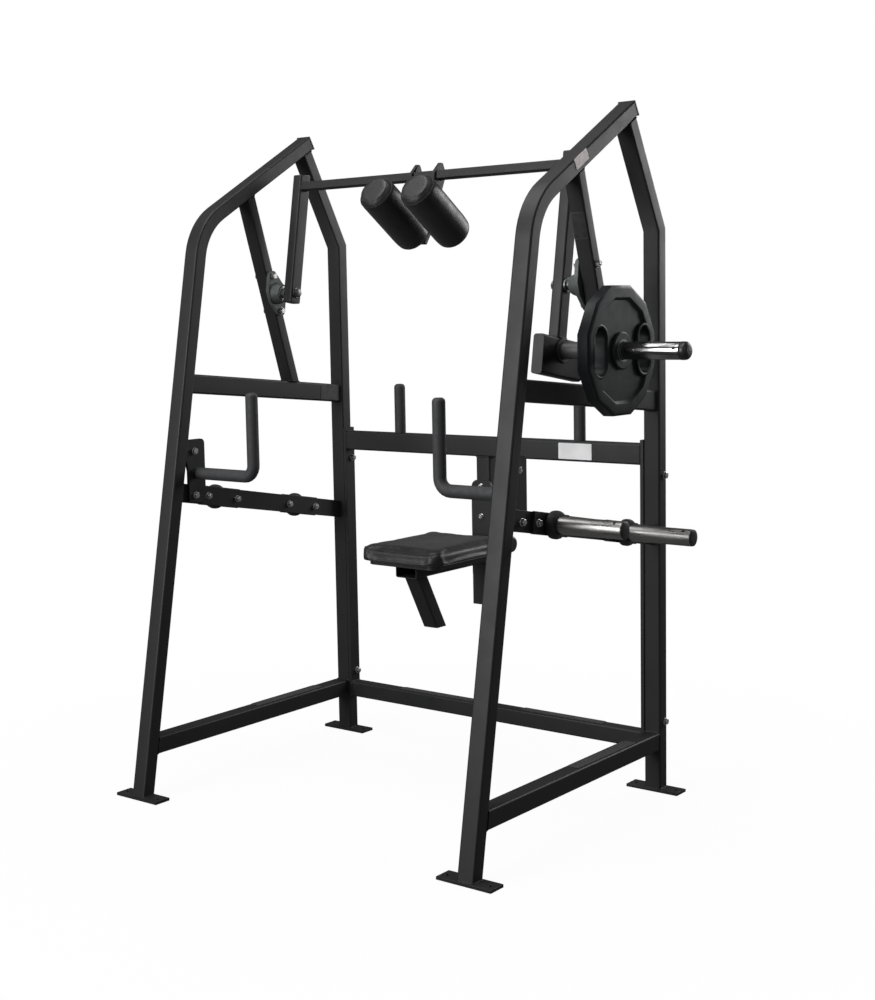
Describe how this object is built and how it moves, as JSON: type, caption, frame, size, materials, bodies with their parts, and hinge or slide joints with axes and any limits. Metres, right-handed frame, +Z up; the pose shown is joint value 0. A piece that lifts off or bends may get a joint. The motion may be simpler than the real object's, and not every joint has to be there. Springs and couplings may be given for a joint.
{
  "type": "four-way neck machine",
  "caption": "Plate-loaded neck machine with bent-tube side frames, a sliding cantilever seat, an overhead swing arm with padded head rollers and a side weight horn.",
  "frame": {"origin": "centre of the bounding box at floor level; the machine's midline lies 34.5 mm to -X of it, because the weight horn reaches further out than the storage horns", "axes": "+Z up; the open front, with the leaning legs and side handles, faces -Y; the weight horn points to +X"},
  "size_m": [1.803, 1.016, 2.0511],
  "materials": {
    "powder_coat": "satin black powder coat",
    "chrome": "bright chrome plate",
    "zinc_steel": "bright zinc-plated steel",
    "rubber": "matt black moulded rubber",
    "grip_rubber": "dull charcoal rubber sleeve",
    "vinyl": "black coated upholstery with a soft sheen",
    "plate_coating": "dark satin urethane over an iron core",
    "cast_housing": "grey-green painted casting",
    "plastic": "black moulded plastic"
  },
  "bodies": {
    "frame": {"front_leg_left": "powder_coat", "front_leg_right": "powder_coat", "rear_upright_left": "powder_coat", "rear_upright_right": "powder_coat", "base_rail_left": "powder_coat", "base_rail_right": "powder_coat", "side_rail_left": "powder_coat", "side_rail_right": "powder_coat", "storage_bar_left": "powder_coat", "storage_bar_right": "powder_coat", "pivot_strut_left": "powder_coat", "pivot_strut_right": "powder_coat", "front_foot_left": "powder_coat", "front_foot_right": "powder_coat", "rear_foot_left": "powder_coat", "rear_foot_right": "powder_coat", "apex_cap_left": "plastic", "apex_cap_right": "plastic", "pivot_bearing_left": "cast_housing", "pivot_bearing_right": "cast_housing", "rest_bumper": "rubber", "upper_crossbar": "powder_coat", "lower_crossbar": "powder_coat", "crossbar_flange_left": "powder_coat", "crossbar_flange_right": "powder_coat", "seat_post": "powder_coat", "rear_grip_left": "grip_rubber", "rear_grip_right": "grip_rubber", "side_handle_left": "powder_coat", "side_handle_right": "powder_coat", "side_grip_left": "grip_rubber", "side_grip_right": "grip_rubber", "storage_horn_front_left": "chrome", "storage_horn_front_right": "chrome", "storage_horn_rear_left": "chrome", "storage_horn_rear_right": "chrome", "horn_collar_front_left": "rubber", "horn_collar_front_right": "rubber", "horn_collar_rear_left": "rubber", "horn_collar_rear_right": "rubber"},
    "swing_arm": {"swing_arm_left": "powder_coat", "swing_arm_right": "powder_coat", "arm_crossbar": "powder_coat", "lever_box": "powder_coat", "pivot_shaft_left": "zinc_steel", "pivot_shaft_right": "zinc_steel", "weight_horn": "chrome", "weight_horn_collar": "rubber", "roller_bracket_left": "powder_coat", "roller_bracket_right": "powder_coat", "roller_axle_left": "zinc_steel", "roller_axle_right": "zinc_steel"},
    "head_roller_left": {"head_roller_left": "vinyl"},
    "head_roller_right": {"head_roller_right": "vinyl"},
    "weight_plate": {"weight_plate": "plate_coating"},
    "seat": {"seat_carriage": "powder_coat", "seat_board": "plastic", "seat_pad": "vinyl", "pin_barrel": "zinc_steel"},
    "seat_pin": {"seat_pin": "plastic"}
  },
  "joints": [
    {"name": "arm_swing", "type": "hinge", "parent": "frame", "child": "swing_arm", "pos_m": [-0.0345, 0.1387, 1.5331], "axis": [-1, 0, 0], "range_deg": [0, 75]},
    {"name": "head_roller_left_spin", "type": "hinge", "parent": "swing_arm", "child": "head_roller_left", "pos_m": [-0.1125, 0.1315, 1.7616], "axis": [0, 0.8241, -0.5664], "continuous": true},
    {"name": "head_roller_right_spin", "type": "hinge", "parent": "swing_arm", "child": "head_roller_right", "pos_m": [0.0435, 0.1315, 1.7616], "axis": [0, 0.8241, -0.5664], "continuous": true},
    {"name": "weight_plate_slide", "type": "slide", "parent": "swing_arm", "child": "weight_plate", "axis": [1, 0, 0], "range_m": [0, 0.25]},
    {"name": "seat_height", "type": "slide", "parent": "frame", "child": "seat", "axis": [0, 0, 1], "range_m": [0, 0.06]},
    {"name": "seat_pin_pull", "type": "slide", "parent": "seat", "child": "seat_pin", "axis": [1, 0, 0], "range_m": [0, 0.012], "stiffness_N_per_m": 600, "springref_m": -0.01}
  ]
}
